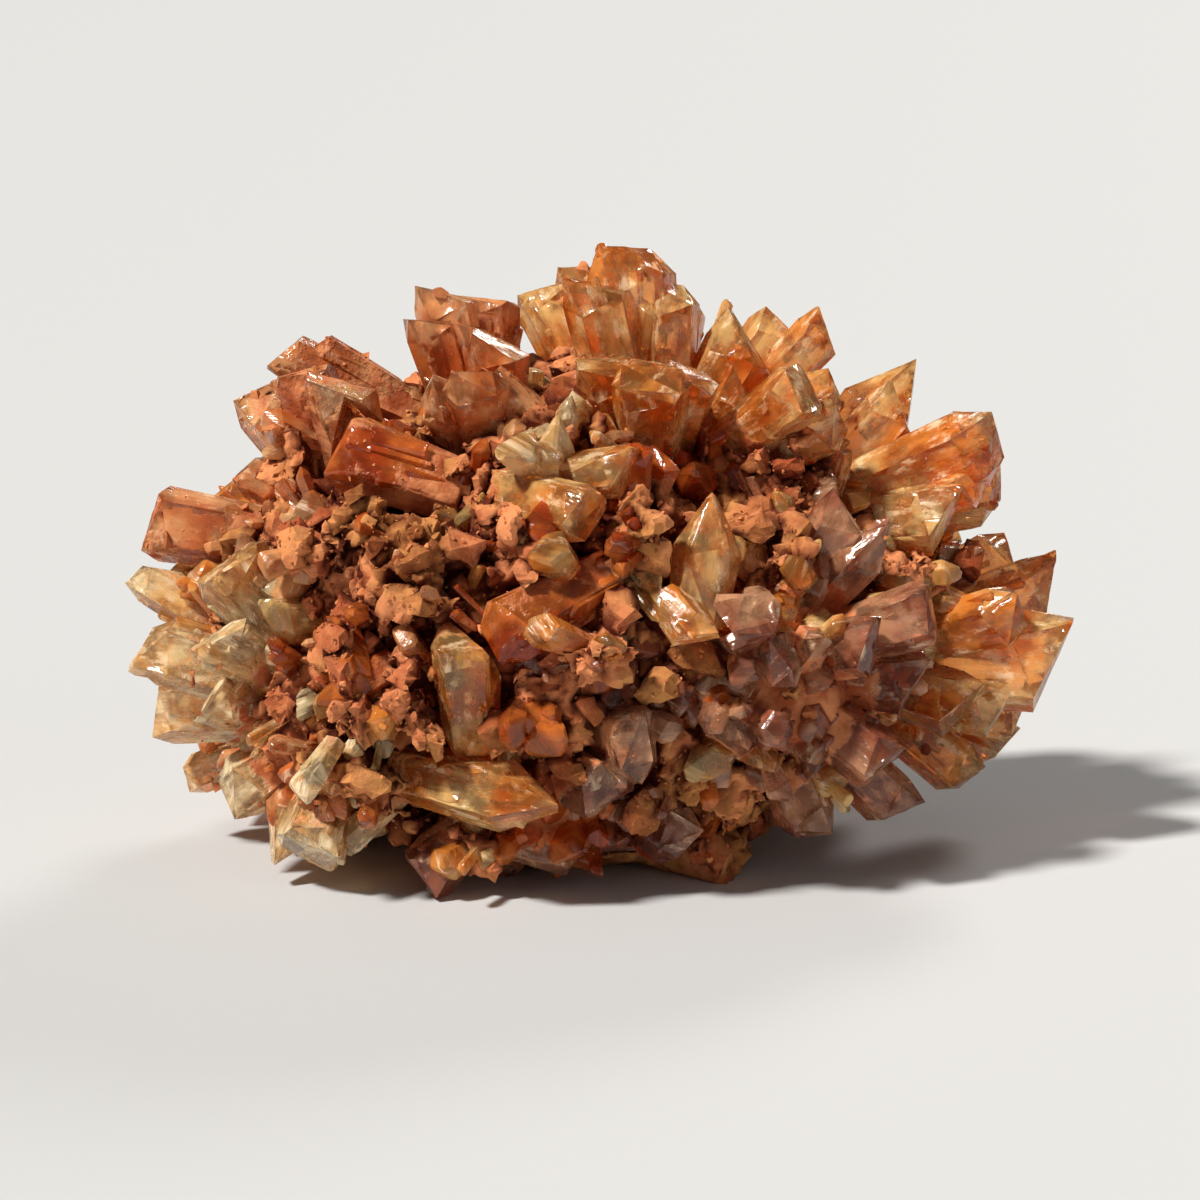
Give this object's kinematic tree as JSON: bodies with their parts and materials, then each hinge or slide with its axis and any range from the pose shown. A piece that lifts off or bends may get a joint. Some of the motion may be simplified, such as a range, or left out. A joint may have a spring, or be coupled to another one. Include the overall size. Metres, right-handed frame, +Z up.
{
  "type": "creedite cluster",
  "caption": "Mineral specimen: sprays of flat-faced honey-orange crystals radiating from a lumpy rust-coloured earthy matrix, resting on a flat broken base.",
  "frame": {"origin": "on the resting plane, under the middle of the whole object's box", "axes": "+X to the right along the cluster's length as pictured, +Y away from the pictured face, +Z up from the flat base"},
  "size_m": [0.0396, 0.0274, 0.0255],
  "materials": {
    "earth": "rough, dusty, rust-red to ochre clay",
    "honey_crystal": "translucent honey-orange crystal, striated, partly dusted",
    "pale_crystal": "translucent pale honey crystal, striated",
    "red_crystal": "iron-stained red-orange crystal, dusted",
    "smoky_crystal": "violet-brown to orange-brown translucent crystal",
    "dusty_crystal": "crystal thinly coated with rust-coloured dust"
  },
  "bodies": {
    "root": {"earth_matrix": "earth", "crest_spray": "honey_crystal", "crest_slabs": "dusty_crystal", "shoulder_spray": "dusty_crystal", "left_fan": "pale_crystal", "upper_right_spray": "honey_crystal", "right_spray": "honey_crystal", "front_spray": "smoky_crystal", "foot_spray": "smoky_crystal", "back_spray": "honey_crystal", "back_left_spray": "honey_crystal", "back_right_spray": "honey_crystal", "shoulder_blade": "dusty_crystal", "red_prism": "red_crystal", "pointed_crystal": "honey_crystal", "orange_wedge": "honey_crystal", "glassy_block": "honey_crystal", "rust_wedge": "red_crystal", "chisel_block": "honey_crystal", "cone_crystal": "honey_crystal", "yellow_chip": "honey_crystal", "white_shard": "pale_crystal"}
  },
  "joints": []
}
